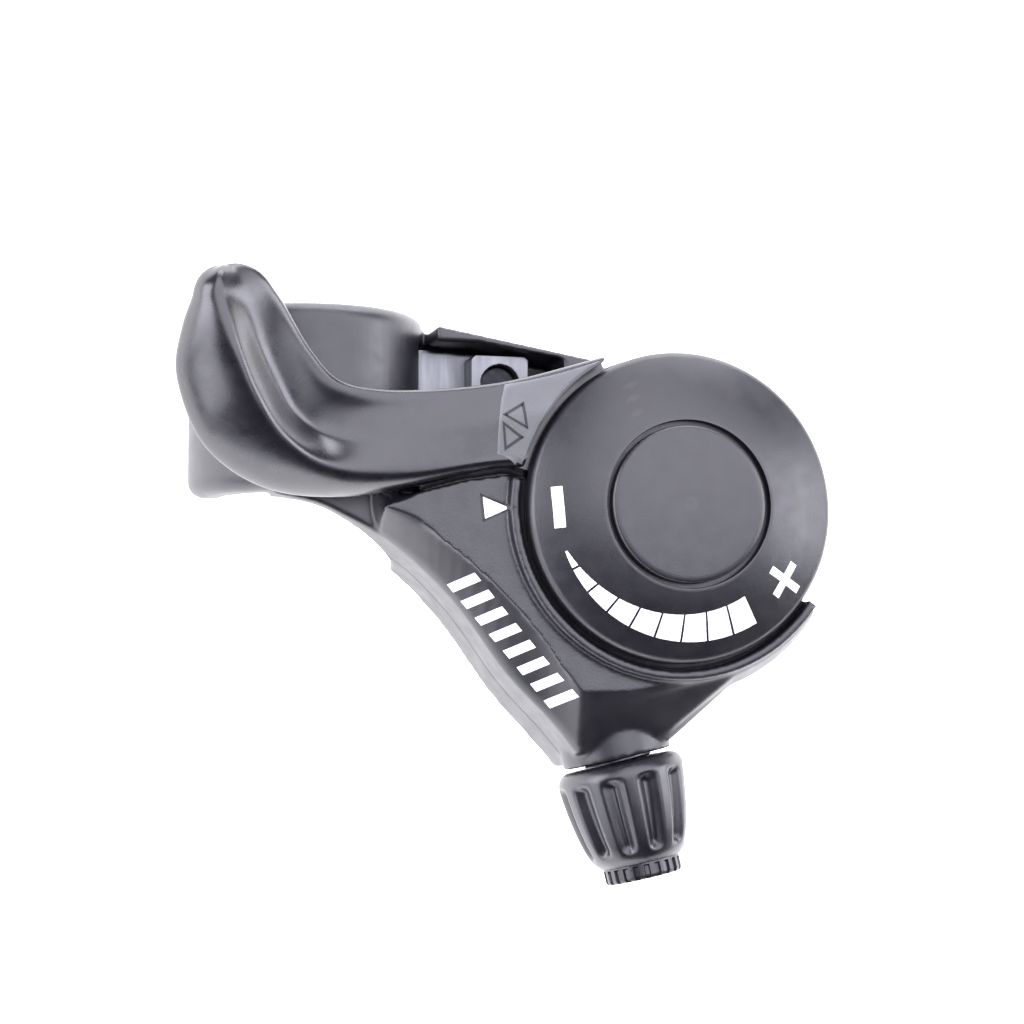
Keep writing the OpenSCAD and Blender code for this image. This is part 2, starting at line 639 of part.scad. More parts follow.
// Open coil between the insert and the click washer, swept as short rods
module adjuster_spring() {
  coil_steps = 16;
  rise = 4.3;
  z0 = -1.05;
  rings = [for (i = [0:spring_turns * coil_steps])
    let (a = i * 360 / coil_steps, z = z0 + spring_wire + rise * i / (spring_turns * coil_steps))
    [for (b = [0:60:300]) let (r = spring_r + spring_wire * cos(b))
      [r * cos(a), r * sin(a), z + spring_wire * sin(b)]]];
  color([0.75, 0.75, 0.77]) at_adjuster() loft(rings, fan = true);
}

bracket();
clamp_band();
clamp_bolt();
clamp_washer();
clamp_nut();
base_plate();
base_screws();
pivot_post();
thrust_washer();
friction_washer();
spring_washer();
keyed_washer();
pivot_screw();
pointer_mark();
adjuster_insert();
adjuster_spring();
lever();
cable_drum();
pivot_bush();
hub_screws();
dial_cover();
gauge_marks();
centre_cap();
click_washer();
adjuster_knob();
adjuster_barrel();
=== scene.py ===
import json
import math

import bpy
import bmesh
from mathutils import Matrix, Vector
from mathutils.bvhtree import BVHTree


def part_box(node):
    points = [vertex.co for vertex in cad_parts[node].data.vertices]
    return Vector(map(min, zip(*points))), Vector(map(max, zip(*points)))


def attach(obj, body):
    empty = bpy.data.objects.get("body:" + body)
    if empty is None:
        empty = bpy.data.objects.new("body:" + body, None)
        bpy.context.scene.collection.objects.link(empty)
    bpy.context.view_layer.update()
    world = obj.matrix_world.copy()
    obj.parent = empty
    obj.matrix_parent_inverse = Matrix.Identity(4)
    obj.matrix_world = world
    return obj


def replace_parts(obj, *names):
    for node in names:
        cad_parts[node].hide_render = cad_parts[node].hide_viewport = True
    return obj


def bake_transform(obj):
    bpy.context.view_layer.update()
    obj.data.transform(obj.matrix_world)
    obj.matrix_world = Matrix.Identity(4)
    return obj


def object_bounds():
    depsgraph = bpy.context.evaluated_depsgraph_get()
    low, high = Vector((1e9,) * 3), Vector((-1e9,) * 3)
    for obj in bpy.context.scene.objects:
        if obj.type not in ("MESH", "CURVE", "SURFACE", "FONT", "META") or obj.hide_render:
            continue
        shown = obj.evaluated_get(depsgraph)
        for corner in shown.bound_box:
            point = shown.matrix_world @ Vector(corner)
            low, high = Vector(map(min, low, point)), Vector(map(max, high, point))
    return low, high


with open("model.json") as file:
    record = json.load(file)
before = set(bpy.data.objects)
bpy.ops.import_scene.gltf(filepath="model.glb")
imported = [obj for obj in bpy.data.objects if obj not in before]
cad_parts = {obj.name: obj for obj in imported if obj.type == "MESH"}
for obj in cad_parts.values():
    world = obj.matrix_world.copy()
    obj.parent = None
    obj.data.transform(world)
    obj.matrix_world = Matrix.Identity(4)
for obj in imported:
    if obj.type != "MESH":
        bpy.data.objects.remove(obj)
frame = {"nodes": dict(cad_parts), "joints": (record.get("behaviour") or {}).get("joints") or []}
CAD_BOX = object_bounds()
MM = 0.001
COLLECTION = bpy.context.scene.collection
JOINTS = {j["name"]: j for j in frame["joints"]}
PIVOT = Vector(JOINTS["lever_turn"]["pos_m"]) / MM
ADJUSTER = Vector(JOINTS["adjuster_turn"]["pos_m"]) / MM
OUTWARD = Vector(JOINTS["adjuster_turn"]["axis"]).normalized()
DIAL_LOW, DIAL_HIGH = (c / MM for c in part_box("dial_cover"))
DIAL_R = (DIAL_HIGH.x - DIAL_LOW.x) / 2
TOP_Z = 18.0                    # the bracket's flat top beside the dial
ARM_GAP_R = 20.4                # radius where the lever's arm ends beside the dial
ARM_TOP = 20.5                  # top of the arm beside the dial
ABOVE = 60.0                    # a height above every piece


# ------------------------------------------------------------------ numbers and curves

def mix(a, b, t):
    """The place at t on the way from a to b."""
    return a + (b - a) * t


def steps(n):
    """n + 1 even fractions from 0 to 1."""
    return [i / n for i in range(n + 1)]


def between(a, b, n):
    """n + 1 even places from a to b."""
    return [mix(a, b, u) for u in steps(n)]


def ease(t):
    """0 up to 0, 1 from 1 on, and a smooth rise between."""
    t = min(max(t, 0.0), 1.0)
    return t * t * (3 - 2 * t)


def spline(points, t):
    """Catmull-Rom curve through the points; t runs from 0 to len(points) - 1."""
    last = len(points) - 1
    i = min(int(t), last - 1)
    u = t - i
    p, q, r, s = (points[min(max(k, 0), last)] for k in (i - 1, i, i + 1, i + 2))
    return 0.5 * (2 * q + (r - p) * u + (2 * p - 5 * q + 4 * r - s) * u * u
                  + (3 * q - p - 3 * r + s) * u ** 3)


def rounded(outline, radius, n=4):
    """A closed outline of (r, z) points with each corner cut by a curve of about that radius."""
    made = []
    for i, here in enumerate(outline):
        before, after = Vector(outline[i - 1]), Vector(outline[(i + 1) % len(outline)])
        here = Vector(here)
        back, ahead = before - here, after - here
        reach = min(radius, back.length * 0.45, ahead.length * 0.45)
        a, b = here + back.normalized() * reach, here + ahead.normalized() * reach
        for t in steps(n):
            made.append(mix(mix(a, here, t), mix(here, b, t), t))
    return made


# ------------------------------------------------------------------ mesh helpers

def place(obj, body, slot, material):
    """Hangs a finished piece on its body, with its material; the slot is not used."""
    obj.data.materials.clear()
    obj.data.materials.append(material)
    if body:
        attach(obj, body)
    return obj


def piece(name, points, faces, body, slot, material, smooth=50):
    """A mesh piece from points in millimetres."""
    mesh = bpy.data.meshes.new(name)
    mesh.from_pydata([Vector(p) * MM for p in points], [], faces)
    obj = bpy.data.objects.new(name, mesh)
    COLLECTION.objects.link(obj)
    tidy_mesh(mesh, smooth)
    return place(obj, body, slot, material)


def tidy_mesh(mesh, smooth):
    """Welds doubled points, turns the faces outward, and marks edges sharper than the angle."""
    bm = bmesh.new()
    bm.from_mesh(mesh)
    bmesh.ops.remove_doubles(bm, verts=bm.verts, dist=1e-7)
    bmesh.ops.recalc_face_normals(bm, faces=bm.faces)
    for face in bm.faces:
        face.smooth = True
    for edge in bm.edges:
        edge.smooth = edge.calc_face_angle(0.0) < math.radians(smooth)
    bm.to_mesh(mesh)
    bm.free()


def closed_grid(rows):
    """Faces between rows of equally many points, each row a closed loop."""
    n = len(rows[0])
    faces = []
    for j in range(len(rows) - 1):
        for i in range(n):
            k = (i + 1) % n
            faces.append((j * n + i, j * n + k, (j + 1) * n + k, (j + 1) * n + i))
    return [p for row in rows for p in row], faces


def turned(outline, n, radius=None):
    """A closed (r, z) outline turned about Z in n steps; radius(r, z, angle, i) may flute it."""
    rows = []
    for i, (r, z) in enumerate(outline):
        ring = []
        for k in range(n):
            a = 2 * math.pi * k / n
            rr = radius(r, z, a, i) if radius else r
            ring.append(Vector((rr * math.cos(a), rr * math.sin(a), z)))
        rows.append(ring)
    return closed_grid(rows + rows[:1])


def stood(points, matrix):
    """The points moved by a matrix."""
    return [matrix @ Vector(p) for p in points]


def joined(*parts):
    """Several (points, faces) sets as one."""
    points, faces = [], []
    for p, f in parts:
        base = len(points)
        points += list(p)
        faces += [tuple(base + i for i in face) for face in f]
    return points, faces


# Pieces drawn round Z stand at the dial's axis, or at the adjuster with Z pointing outward
AT_PIVOT = Matrix.Translation((PIVOT.x, PIVOT.y, 0))
SIDEWAYS = Vector((0, 0, 1)).cross(OUTWARD).normalized()
AT_ADJUSTER = Matrix.Translation(ADJUSTER) @ Matrix(
    (SIDEWAYS, OUTWARD.cross(SIDEWAYS), OUTWARD)).transposed().to_4x4()


def evaluated(obj):
    """Applies the object's modifiers."""
    graph = bpy.context.evaluated_depsgraph_get()
    mesh = bpy.data.meshes.new_from_object(obj.evaluated_get(graph))
    obj.modifiers.clear()
    obj.data = mesh
    return obj


def moulded(node, name, voxel, passes, body, slot, material):
    """A copy of a CAD node with rounded edges, made of voxels of that size and smoothed."""
    mesh = frame["nodes"][node].data.copy()
    mesh.name = name
    obj = bpy.data.objects.new(name, mesh)
    COLLECTION.objects.link(obj)
    tidy_mesh(mesh, 180)
    remesh = obj.modifiers.new("remesh", "REMESH")
    remesh.mode = "VOXEL"
    remesh.voxel_size = voxel * MM
    smooth = obj.modifiers.new("smooth", "SMOOTH")
    smooth.iterations = passes
    smooth.factor = 0.5
    evaluated(obj)
    for polygon in obj.data.polygons:
        polygon.use_smooth = True
    place(obj, body, slot, material)
    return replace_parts(obj, node)


def surface_of(*objects):
    """A search tree over the objects, in millimetres."""
    points, faces = [], []
    for obj in objects:
        base = len(points)
        points += [v.co / MM for v in obj.data.vertices]
        faces += [[base + i for i in f.vertices] for f in obj.data.polygons]
    return BVHTree.FromPolygons(points, faces)


def touch(surface, x, y):
    """Where a line straight down meets the surface, or else its nearest place, and the normal."""
    hit = surface.ray_cast(Vector((x, y, ABOVE)), Vector((0, 0, -1)))
    if hit[0] is None:
        hit = surface.find_nearest(Vector((x, y, ARM_TOP)))
    return hit[0], hit[1]


# ------------------------------------------------------------------ materials

def material(name, color, roughness, metallic=0.0, specular=0.5):
    """A new material with its node tree and its shader."""
    made = bpy.data.materials.new(name)
    made.use_nodes = True
    shader = made.node_tree.nodes["Principled BSDF"]
    shader.inputs["Base Color"].default_value = (*color, 1)
    shader.inputs["Roughness"].default_value = roughness
    shader.inputs["Metallic"].default_value = metallic
    shader.inputs["Specular IOR Level"].default_value = specular
    return made, made.node_tree, shader


def coordinates(tree, stretch):
    """Object coordinates, stretched along the axes."""
    where = tree.nodes.new("ShaderNodeTexCoord")
    mapping = tree.nodes.new("ShaderNodeMapping")
    mapping.inputs["Scale"].default_value = stretch
    tree.links.new(where.outputs["Object"], mapping.inputs["Vector"])
    return mapping.outputs["Vector"]


def noise(tree, size, detail=3.0, stretch=(1, 1, 1)):
    """Noise whose blotches are about size millimetres across."""
    made = tree.nodes.new("ShaderNodeTexNoise")
    made.inputs["Scale"].default_value = 1 / (size * MM)
    made.inputs["Detail"].default_value = detail
    tree.links.new(coordinates(tree, stretch), made.inputs["Vector"])
    return made.outputs["Fac"]


def ranged(tree, value, low, high, to_low, to_high):
    """The value's range low to high, stretched to to_low to to_high."""
    made = tree.nodes.new("ShaderNodeMapRange")
    sockets = ("From Min", "From Max", "To Min", "To Max")
    for socket, number in zip(sockets, (low, high, to_low, to_high)):
        made.inputs[socket].default_value = number
    tree.links.new(value, made.inputs["Value"])
    return made.outputs["Result"]


def product(tree, a, b):
    """One value times the other."""
    made = tree.nodes.new("ShaderNodeMath")
    made.operation = "MULTIPLY"
    tree.links.new(a, made.inputs[0])
    tree.links.new(b, made.inputs[1])
    return made.outputs["Value"]


def tint(tree, factor, first, second, shader):
    """The base colour runs from first to second with the factor."""
    made = tree.nodes.new("ShaderNodeMix")
    made.data_type = "RGBA"
    made.inputs["A"].default_value = (*first, 1)
    made.inputs["B"].default_value = (*second, 1)
    tree.links.new(factor, made.inputs["Factor"])
    tree.links.new(made.outputs["Result"], shader.inputs["Base Color"])


def bump(tree, shader, height, depth):
    """Bump with its depth in millimetres."""
    made = tree.nodes.new("ShaderNodeBump")
    made.inputs["Strength"].default_value = 1.0
    made.inputs["Distance"].default_value = depth * MM
    tree.links.new(height, made.inputs["Height"])
    tree.links.new(made.outputs["Normal"], shader.inputs["Normal"])


def height_mask(tree, low, high):
    """0 below the height low and 1 above high, in millimetres."""
    where = tree.nodes.new("ShaderNodeTexCoord")
    split = tree.nodes.new("ShaderNodeSeparateXYZ")
    tree.links.new(where.outputs["Object"], split.inputs["Vector"])
    return ranged(tree, split.outputs["Z"], low * MM, high * MM, 0.0, 1.0)


def painted_edge_highlight(tree):
    """1 along raised edges, from the mesh's own curvature; it marks where a highlight is painted."""
    geometry = tree.nodes.new("ShaderNodeNewGeometry")
    return ranged(tree, geometry.outputs["Pointiness"], 0.52, 0.6, 0.0, 1.0)


def plastic(name, color, roughness, grain, depth, specular=0.8, mask=None):
    """Moulded plastic: a grained skin, blotchy gloss, and a painted highlight that lightens raised edges a
    little.
    grain and depth are in millimetres, and mask is the range of heights where the grain fades in."""
    made, tree, shader = material(name, color, roughness, specular=specular)
    # painted highlight: raised edges get a lighter base colour, standing in for light caught by their
    # rounding
    tint(tree, painted_edge_highlight(tree), color, [c * 1.6 + 0.006 for c in color], shader)
    gloss = ranged(tree, noise(tree, 2.2), 0.3, 0.7, roughness - 0.035, roughness + 0.045)
    tree.links.new(gloss, shader.inputs["Roughness"])
    skin = noise(tree, grain, detail=4.0)
    if mask:
        skin = product(tree, skin, height_mask(tree, *mask))
    bump(tree, shader, skin, depth)
    return made


def metal(name, color, roughness, stretch, depth):
    """Plated or machined metal, with fine lines along one direction and faint stains."""
    made, tree, shader = material(name, color, roughness, metallic=1.0)
    lines = noise(tree, 0.9, detail=5.0, stretch=stretch)
    stains = noise(tree, 3.5)
    tint(tree, stains, [c * 0.82 for c in color], color, shader)
    gloss = ranged(tree, lines, 0.3, 0.7, roughness - 0.08, roughness + 0.1)
    tree.links.new(gloss, shader.inputs["Roughness"])
    bump(tree, shader, lines, depth)
    return made


BLUE_BLACK = (0.0062, 0.0056, 0.0098)
HOUSING = plastic("housing", BLUE_BLACK, 0.4, 0.32, 0.045, specular=0.95,
                  mask=(TOP_Z - 0.3, TOP_Z - 0.05))
LEVER = plastic("lever_satin", BLUE_BLACK, 0.28, 0.5, 0.004, specular=1.0)
# painted light: the panel's light grey stands in for the light that its flat, matte, upward-facing face
# reflects
PANEL_PAINTED_LIGHT = plastic("lever_panel_painted_light", (0.13, 0.135, 0.14), 0.5, 0.3, 0.04)
DIAL = plastic("dial", (0.006, 0.0055, 0.0095), 0.38, 0.22, 0.016, specular=0.95)
KNOB = plastic("knob", BLUE_BLACK, 0.34, 0.4, 0.012, specular=1.0)
DARK_LINE = plastic("dark_line", (0.004, 0.004, 0.006), 0.6, 0.3, 0.01)
INK = plastic("ink", (0.78, 0.79, 0.82), 0.45, 0.3, 0.01, specular=0.4)
NYLON = plastic("nylon", (0.62, 0.61, 0.57), 0.45, 0.5, 0.01, specular=0.5)
FIBRE = plastic("fibre", (0.2, 0.12, 0.07), 0.8, 0.25, 0.05, specular=0.2)
BAND = metal("band_zinc", (0.24, 0.245, 0.26), 0.4, (1, 0.12, 1), 0.02)
FASTENER = metal("fastener_zinc", (0.22, 0.22, 0.235), 0.36, (1, 1, 0.3), 0.01)
DARK_STEEL = metal("dark_steel", (0.035, 0.035, 0.04), 0.4, (1, 1, 0.3), 0.01)
BRASS = metal("brass", (0.78, 0.6, 0.3), 0.3, (1, 1, 0.3), 0.01)


# ------------------------------------------------------------------ lever

# Rails of the arm and paddle in millimetres, each from the hub to the tip
RAIL_LOW = [(34, -11.2, 15.8), (22, -10.5, 15.8), (11, -12.6, 15.7), (2, -14, 15.7), (-7, -13.2, 16.2),
            (-13.6, -9, 17.6), (-17, -2, 19.6), (-17.2, 4, 21.8), (-16, 7.6, 23.4)]
RAIL_OUTER = [(34, -11.5, 18), (22, -11.1, 17.8), (11, -13.7, 17.6), (2, -15.3, 17.5), (-8, -14.7, 18.3),
              (-16, -10, 20), (-19.9, -2, 22.3), (-19.8, 4.2, 24.2), (-18.6, 8, 25.6)]
RAIL_CREST = [(34, -9.8, 20.4), (22, -9.7, 20.2), (9, -12, 21), (-0.5, -12.2, 22.8), (-6.7, -9.3, 25.2),
              (-10.6, -4.6, 27.3), (-13, 0.4, 28.6), (-14.4, 4.6, 29), (-15.1, 7.6, 28.7)]
RAIL_VALLEY = [(34, -4, 20.5), (22, -5.4, 20.3), (10, -7.8, 20), (1, -8.3, 20.8), (-4.4, -5.8, 22.6),
               (-7.5, -1.4, 24.3), (-9.8, 2.8, 25.5), (-11, 5.8, 26.2), (-12, 8, 26.8)]
RAIL_INNER = [(34, 2.9, 20.5), (22, -0.5, 20.5), (12, -1.9, 20.8), (5, -2.1, 21.4), (0.2, -1.1, 22.1),
              (-3.1, 2.2, 23), (-5.2, 5.2, 23.8), (-6.8, 7.6, 24.6), (-8.5, 9.6, 25.4)]
RAIL_INNER_LOW = [(34, 2.6, 15.8), (22, -1, 15.8), (12, -2.5, 15.7), (5, -2.9, 16), (0, -2, 16.8),
                  (-3.6, 1, 18.2), (-6, 4.4, 19.8), (-8, 6.8, 21.4), (-9.8, 8.6, 23)]
PADDLE_TIP = Vector((-14.6, 12, 26))
# How strongly the sculpted profile shows at each rail point
SCULPT = [0.0, 0.3, 0.6, 0.9, 1.0, 1.0, 0.8, 0.35, 0.0]
LAST_RAIL_POINT = len(SCULPT) - 1
TOP_POINTS = 5                  # steps between two profile points
WALL_POINTS = 4                 # steps down each side wall
ALONG = 110                     # steps from the dial to the tip


def rail_points(t):
    """The six rails' places and the sculpting strength at t, which runs from 0 to the last point."""
    rails = (RAIL_LOW, RAIL_OUTER, RAIL_CREST, RAIL_VALLEY, RAIL_INNER, RAIL_INNER_LOW)
    return [spline([Vector(p) for p in rail], t) for rail in rails], spline(SCULPT, t)


def arm_section(t):
    """Closed section of the arm at t: top side, inner wall, bottom side, outer wall."""
    (low, outer, crest, valley, inner, inner_low), k = rail_points(t)
    crest_after = rail_points(min(t + 0.05, LAST_RAIL_POINT))[0][2]
    crest_before = rail_points(max(t - 0.05, 0))[0][2]
    up = (inner - crest).cross(crest_after - crest_before).normalized()
    up = up if up.z > 0 else -up
    bulge = mix(outer, crest, 0.5) + Vector((-0.5, -0.7, 0.5))
    # the straight part of the arm is arched, and the hollow deepens towards the paddle
    arched = 1 - ease((t - 1.2) / 2.6)
    valley = mix(valley, mix(crest, inner, 0.5) + up * 0.55, arched)
    k = k * (1 - arched)
    profile = [
        outer, mix(outer, bulge, 0.5) + Vector((-0.3, -0.3, 0)) * k, bulge,
        mix(bulge, crest, 0.55) + Vector((-0.1, -0.15, 0.25)), crest,
        mix(crest, valley, 0.3), mix(crest, valley, 0.64) - up * 0.45 * k,
        valley - up * 0.75 * k, mix(valley, inner, 0.3) - up * 0.7 * k,
        mix(valley, inner, 0.58) - up * 0.4 * k, mix(valley, inner, 0.8),
        mix(valley, inner, 0.97) - Vector((0, 0, 0.25)), inner - Vector((0, 0, 1.5)),
    ]
    count = len(profile) - 1
    top = [spline(profile, count * u) for u in steps(count * TOP_POINTS)]
    side = between(top[-1], inner_low, WALL_POINTS)[1:]
    bottom = between(inner_low, low, count * TOP_POINTS)[1:]
    back = between(low, top[0], WALL_POINTS)[1:-1]
    return top + side + bottom + back, len(top)


def cut_at_dial(line):
    """The part of a line outside the dial's gap circle, with as many points as before."""
    def reach(p):
        return math.hypot(p.x - PIVOT.x, p.y - PIVOT.y) - ARM_GAP_R
    start = 0.0
    for i in range(len(line) - 1):
        a, b = reach(line[i]), reach(line[i + 1])
        if a < 0 <= b:
            start = i + a / (a - b)
    last = len(line) - 1
    made = []
    for at in between(start, last, last):
        i = min(int(at), last - 1)
        made.append(mix(line[i], line[i + 1], at - i))
    return made


def arm_rings():
    """Sections from the dial's gap to the paddle, then a round tip, and the top side's point count."""
    rings = [arm_section(LAST_RAIL_POINT * u)[0] for u in steps(ALONG)]
    lines = [cut_at_dial(list(line)) for line in zip(*rings)]
    rings = [list(ring) for ring in zip(*lines)]
    last = rings[-1]
    top_count = arm_section(LAST_RAIL_POINT)[1]
    middle = mix(last[0], last[top_count - 1], 0.5)
    to_tip = PADDLE_TIP - middle
    for degrees in range(9, 90, 9):
        a = math.radians(degrees)
        rings.append([middle + (p - middle) * math.cos(a) + to_tip * math.sin(a) for p in last])
    return rings, top_count


def arm_mesh(rings, top_count):
    """The arm's skin between its sections, closed at the tip and at the dial's gap."""
    points, faces = closed_grid(rings)
    n = len(rings[0])
    tip = len(points)
    points.append(PADDLE_TIP)
    faces += [(tip - n + i, tip - n + (i + 1) % n, tip) for i in range(n)]
    # end face along the dial's gap, between the top side and the bottom side
    bottom_start = top_count + WALL_POINTS - 1
    for k in range(top_count - 1):
        over, under = k, bottom_start + (top_count - 1) - k
        cell = [over, over + 1, under - 1, under]
        if k == 0:
            cell = [over, over + 1, under - 1] + list(range(under, n))
        if k == top_count - 2:
            cell = [over] + list(range(over + 1, under + 1))
        faces.append(tuple(reversed(cell)))
    return points, faces


def lever():
    """Thumb lever: sculpted arm and paddle on a flat round hub."""
    points, faces = joined(arm_mesh(*arm_rings()), hub(), hub_web())
    obj = piece("lever_arm", points, faces, "lever_body", "lever_plastic", LEVER, smooth=42)
    soften(obj)
    edges = obj.modifiers.new("edges", "BEVEL")
    edges.width = 0.3 * MM
    edges.segments = 3
    edges.limit_method = "ANGLE"
    edges.angle_limit = math.radians(48)
    evaluated(obj)
    tidy_mesh(obj.data, 60)
    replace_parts(obj, "lever")
    return obj


def soften(obj):
    """Rounds the arm's ridges, most of all at the tip, and leaves the end beside the dial crisp."""
    for name, passes in (("arm", 14), ("tip", 36)):
        group = obj.vertex_groups.new(name=name)
        for v in obj.data.vertices:
            p = v.co / MM
            if name == "arm":
                weight = ease((math.hypot(p.x - PIVOT.x, p.y - PIVOT.y) - ARM_GAP_R - 0.5) / 6)
            else:
                weight = ease((p.y + 1) / 9) if p.x < 0 else 0.0
            group.add([v.index], weight, "REPLACE")
        smooth = obj.modifiers.new(name, "SMOOTH")
        smooth.factor = 0.5
        smooth.iterations = passes
        smooth.vertex_group = name
    evaluated(obj)


def hub():
    """Round hub under the dial, with a bore for the bush and a well for the washers."""
    low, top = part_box("lever")[0].z / MM, DIAL_LOW.z - 0.2
    outer_r, bore_r, well_r, well_floor = ARM_GAP_R - 2.2, 5.2, 7.4, top - 3.1
    outline = [(bore_r, low), (outer_r, low), (outer_r, top), (well_r, top), (well_r, well_floor),
               (bore_r, well_floor)]
    points, faces = turned(rounded(outline, 0.3, 3), 96)
    return stood(points, AT_PIVOT), faces


def hub_web():
    """The web that carries the arm from the hub, under the dial's edge."""
    inner_r, outer_r, low, top = ARM_GAP_R - 3, ARM_GAP_R + 0.5, DIAL_LOW.z + 0.05, DIAL_LOW.z + 2
    corners = rounded([(inner_r, low), (outer_r, low), (outer_r, top), (inner_r, top)], 0.25, 2)
    n = len(corners)
    rows = []
    for a in between(math.radians(118), math.radians(167), 24):
        rows.append([Vector((PIVOT.x + r * math.cos(a), PIVOT.y + r * math.sin(a), z)) for r, z in corners])
    points, faces = closed_grid(rows)
    faces += [tuple(range(n)), tuple(reversed(range(len(points) - n, len(points))))]
    return points, faces


def end_panel(surface):
    """The flat, grained panel at the arm's end beside the dial, a little proud of the arm; its light grey
    is painted light.
    """
    left, along, across, thick = 20.4, 22, 26, 0.35
    top, under = [], []
    for v in steps(across):
        top_row, under_row = [], []
        for u in steps(along):
            # the right side follows the dial's gap, the other sides follow the arm's edges
            angle = mix(math.radians(168.6), math.radians(119.5), v)
            right = PIVOT.xy + Vector((math.cos(angle), math.sin(angle))) * (ARM_GAP_R + 0.3)
            start = Vector((left + 0.9 * v ** 3, mix(-9.7, -1.1, v)))
            p = mix(start, right, u) + Vector((0, 0.35 * math.sin(math.pi * u) * (1 - 2 * v)))
            hit = touch(surface, p.x, p.y)[0]
            rim = min(u * along, (1 - u) * along, v * across, (1 - v) * across, 1)
            top_row.append(hit + Vector((0, 0, mix(0.03, 0.12, rim))))
            under_row.append(hit - Vector((0, 0, thick)))
        top.append(top_row)
        under.append(under_row)
    width = along + 1
    points = [p for row in top for p in row] + [p for row in under for p in row]
    half = len(points) // 2
    faces = []
    for i in range(across):
        for m in range(along):
            a = i * width + m
            faces.append((a, a + 1, a + width + 1, a + width))
            faces.append((half + a, half + a + width, half + a + width + 1, half + a + 1))
    rim = list(range(width)) + [i * width + along for i in range(1, across + 1)]
    rim += [across * width + m for m in range(along - 1, -1, -1)]
    rim += [i * width for i in range(across - 1, 0, -1)]
    faces += [(a, b, half + b, half + a) for a, b in zip(rim, rim[1:] + rim[:1])]
    return piece("lever_end_panel", points, faces, "lever_body", "lever_plastic", PANEL_PAINTED_LIGHT, smooth=50)


def triangle_frame(corners, width, surface, lift, name, body, slot):
    """A thin outlined triangle laid on a surface."""
    middle = sum((Vector(c) for c in corners), Vector((0, 0))) / 3
    parts = []
    for i in range(3):
        a, b = Vector(corners[i]), Vector(corners[(i + 1) % 3])
        inner_a = a + (middle - a).normalized() * width * 2
        inner_b = b + (middle - b).normalized() * width * 2
        parts.append(bar_strip(between(a, b, 8), between(inner_a, inner_b, 8), surface, lift))
    return piece(name, *joined(*parts), body, slot, DARK_LINE)


def panel_triangles(surface):
    """Two thin outlined triangles on the end panel; their dark outlines are painted shade standing in for
    engraved grooves.
    """
    corners = {"upper": [(23.6, -3.2), (24.2, -6.6), (20.9, -4.9)],
               "lower": [(20.9, -5.7), (23.7, -7.6), (21.3, -9.3)]}
    for place_name, triangle in corners.items():
        # painted shade: dark strips laid where engraved grooves would show shade
        triangle_frame(triangle, 0.3, surface, 0.05, "panel_triangle_" + place_name,
                       "lever_body", "lever_plastic")


# ------------------------------------------------------------------ dial and cap

CROWN_R = 37.5                  # radius of the sphere that the dial follows
CROWN_TOP = 24.3                # height of the dial beside the cap
CAP_R = 9.8
CAP_SEAM = 0.6


def crown(r, radius=CROWN_R):
    """Height of the dial's dome at a distance from its axis."""
    return CROWN_TOP - math.sqrt(CROWN_R ** 2 - CAP_R ** 2) + math.sqrt(radius ** 2 - r * r)


def dial():
    """Domed ring with a stepped seat for the cap and three pegs below."""
    low, floor, wall, plate, hole_r = 17.9, 22.6, 1.6, 1.4, 2.05
    seat, under = CAP_R + CAP_SEAM, CAP_R + 2
    outline = [(DIAL_R - wall, low), (DIAL_R, low), (DIAL_R, crown(DIAL_R) - 0.45)]
    outline += [(DIAL_R - 0.13, crown(DIAL_R) - 0.13)]
    outline += [(r, crown(r)) for r in between(DIAL_R - 0.45, seat + 0.3, 36)]
    outline += [(seat + 0.08, crown(seat) - 0.08), (seat, crown(seat) - 0.3), (seat, floor)]
    outline += [(hole_r, floor), (hole_r, floor - plate), (under, floor - plate)]
    outline += [(r, crown(r, CROWN_R - wall)) for r in between(under, DIAL_R - wall, 10)]
    points, faces = joined(turned(outline, 144), *dial_pegs())
    obj = piece("dial_ring", stood(points, AT_PIVOT), faces, "lever_body", "dial_plastic", DIAL, smooth=40)
    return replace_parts(obj, "dial_cover")


def dial_pegs():
    """Three pegs that key the dial to the hub."""
    low, top, peg_r, around_r = DIAL_LOW.z, 21, 1.2, 14.5
    outline = rounded([(0.01, low), (peg_r, low), (peg_r, top), (0.01, top)], 0.2, 2)
    points, faces = turned(outline, 20)
    for degrees in (0, 120, 240):
        a = math.radians(degrees)
        away = Matrix.Translation((around_r * math.cos(a), around_r * math.sin(a), 0))
        yield stood(points, away), faces


def cap():
    """Round cap with a very slight dome and a soft edge."""
    top, dome_r, low = 24.9, 80, 22.65

    def dome(r):
        return top - dome_r + math.sqrt(dome_r ** 2 - r * r)
    edge = CAP_R - 0.35
    outline = [(0.001, low), (CAP_R - 0.2, low), (CAP_R, low + 0.2),
               (CAP_R, dome(CAP_R) - 0.32), (CAP_R - 0.1, dome(CAP_R) - 0.1), (edge, dome(edge))]
    outline += [(edge * (1 - u) + 0.001, dome(edge * (1 - u))) for u in steps(16)[1:]]
    points, faces = turned(outline, 128)
    obj = piece("cap_disc", stood(points, AT_PIVOT), faces, "lever_body", "dial_plastic", DIAL, smooth=40)
    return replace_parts(obj, "centre_cap")


# ------------------------------------------------------------------ adjuster

KNOB_R, KNOB_LEN, FLUTES = 8.0, 12.8, 11
COLLAR_R, COLLAR_LEN = 4.9, 2.0
HEAD_R, HEAD_LOW = 4.2, 5.2     # the barrel's head, inside the knob


